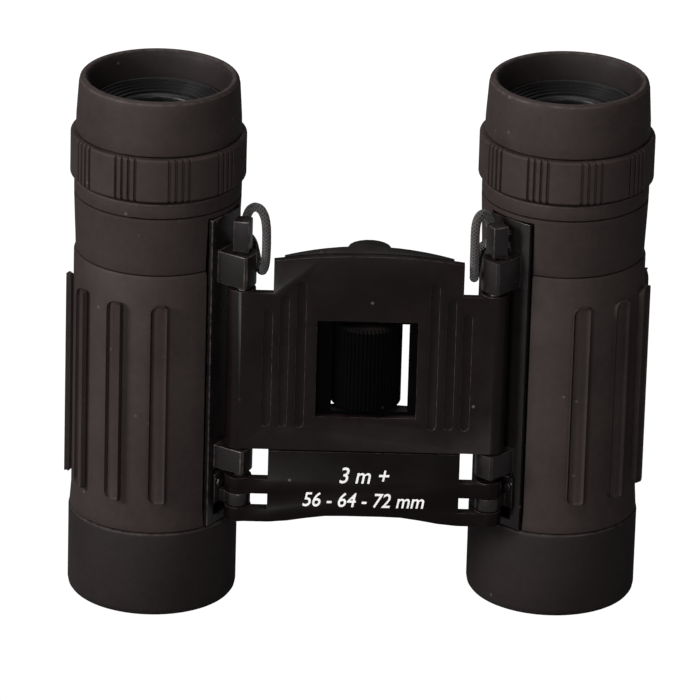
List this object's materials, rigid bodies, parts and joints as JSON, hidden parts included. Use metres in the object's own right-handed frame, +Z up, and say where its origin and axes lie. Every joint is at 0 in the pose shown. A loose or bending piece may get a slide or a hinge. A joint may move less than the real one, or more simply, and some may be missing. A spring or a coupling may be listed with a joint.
{
  "type": "folding binoculars",
  "caption": "Compact black roof-prism binoculars: barrels that fold about a centre bridge, a focus wheel in the bridge's window and rubber eyecups.",
  "frame": {"origin": "halfway between the two barrel axes, on the plane that the objective caps stand on", "axes": "+X from the left barrel to the right one as the printed side is seen, -Y towards the viewer of the printed side, +Z up towards the eyecups"},
  "size_m": [0.1072, 0.036, 0.1016],
  "materials": {
    "rubber": "matt moulded",
    "bridge_plastic": "satin moulded",
    "hinge_plastic": "semi-gloss moulded",
    "matt_black": "matt",
    "alloy": "black anodised",
    "steel": "bright",
    "glass": "coated",
    "cord": "braided"
  },
  "bodies": {
    "bridge": {"bridge_front_cover": "bridge_plastic", "bridge_rear_cover": "bridge_plastic", "cover_screw_1": "steel", "cover_screw_2": "steel", "cover_screw_3": "steel", "cover_screw_4": "steel"},
    "focus_wheel": {"focus_wheel": "matt_black", "focus_shaft": "steel"},
    "focus_plate": {"focus_plate": "bridge_plastic", "fork_pin_left": "steel", "fork_pin_right": "steel"},
    "barrel_left": {"barrel_tube_left": "alloy", "armour_left": "rubber", "neck_band_left": "rubber", "seat_band_left": "rubber", "prism_seat_left": "alloy", "half_penta_prism_left": "glass", "roof_prism_left": "glass", "objective_cap_left": "rubber", "hinge_spine_left": "hinge_plastic", "hinge_pin_left": "steel", "strap_post_left": "hinge_plastic", "strap_loop_left": "cord"},
    "eyepiece_left": {"eyepiece_housing_left": "matt_black", "eye_lens_retainer_left": "matt_black", "eye_lens_left": "glass", "field_lens_left": "glass"},
    "dioptre_ring": {"grip_ring_left": "rubber", "eyecup_left": "rubber"},
    "objective_left": {"objective_sleeve_left": "alloy", "objective_lens_left": "glass", "objective_retainer_left": "matt_black", "focus_arm_left": "hinge_plastic", "arm_screw_left": "steel"},
    "barrel_right": {"barrel_tube_right": "alloy", "armour_right": "rubber", "neck_band_right": "rubber", "seat_band_right": "rubber", "prism_seat_right": "alloy", "half_penta_prism_right": "glass", "roof_prism_right": "glass", "objective_cap_right": "rubber", "hinge_spine_right": "hinge_plastic", "hinge_pin_right": "steel", "strap_post_right": "hinge_plastic", "strap_loop_right": "cord", "eyepiece_housing_right": "matt_black", "eye_lens_retainer_right": "matt_black", "eye_lens_right": "glass", "field_lens_right": "glass", "grip_ring_right": "rubber", "eyecup_right": "rubber"},
    "objective_right": {"objective_sleeve_right": "alloy", "objective_lens_right": "glass", "objective_retainer_right": "matt_black", "focus_arm_right": "hinge_plastic", "arm_screw_right": "steel"}
  },
  "joints": [
    {"name": "fold_left", "type": "hinge", "parent": "bridge", "child": "barrel_left", "pos_m": [-0.0216, -0.01217, 0.05], "axis": [0, 0, -1], "range_deg": [0, 66]},
    {"name": "fold_right", "type": "hinge", "parent": "bridge", "child": "barrel_right", "pos_m": [0.0248, -0.01217, 0.05], "axis": [0, 0, 1], "range_deg": [-15, 51]},
    {"name": "focus_turn", "type": "hinge", "parent": "bridge", "child": "focus_wheel", "pos_m": [0.0016, -0.00947, 0.0495], "axis": [0, 0, 1], "range_deg": [0, 280]},
    {"name": "focus_slide", "type": "slide", "parent": "bridge", "child": "focus_plate", "axis": [0, 0, 1], "range_m": [-0.00254, 0]},
    {"name": "objective_slide_left", "type": "slide", "parent": "barrel_left", "child": "objective_left", "axis": [0, 0, 1], "range_m": [-0.00254, 0]},
    {"name": "objective_slide_right", "type": "slide", "parent": "barrel_right", "child": "objective_right", "axis": [0, 0, 1], "range_m": [-0.00254, 0]},
    {"name": "dioptre_lift", "type": "slide", "parent": "barrel_left", "child": "eyepiece_left", "axis": [0, 0, 1], "range_m": [-0.00045, 0.00045]},
    {"name": "dioptre_turn", "type": "hinge", "parent": "eyepiece_left", "child": "dioptre_ring", "pos_m": [-0.03745, -0.00188, 0.087], "axis": [0, 0, 1], "range_deg": [-50, 50]}
  ],
  "couplings": [
    {"joint": "focus_turn", "follows": "focus_slide", "rad_per_m": -1923.1},
    {"joint": "objective_slide_left", "follows": "focus_slide", "ratio": 1},
    {"joint": "objective_slide_right", "follows": "focus_slide", "ratio": 1},
    {"joint": "dioptre_lift", "follows": "dioptre_turn", "m_per_rad": 0.0005}
  ]
}
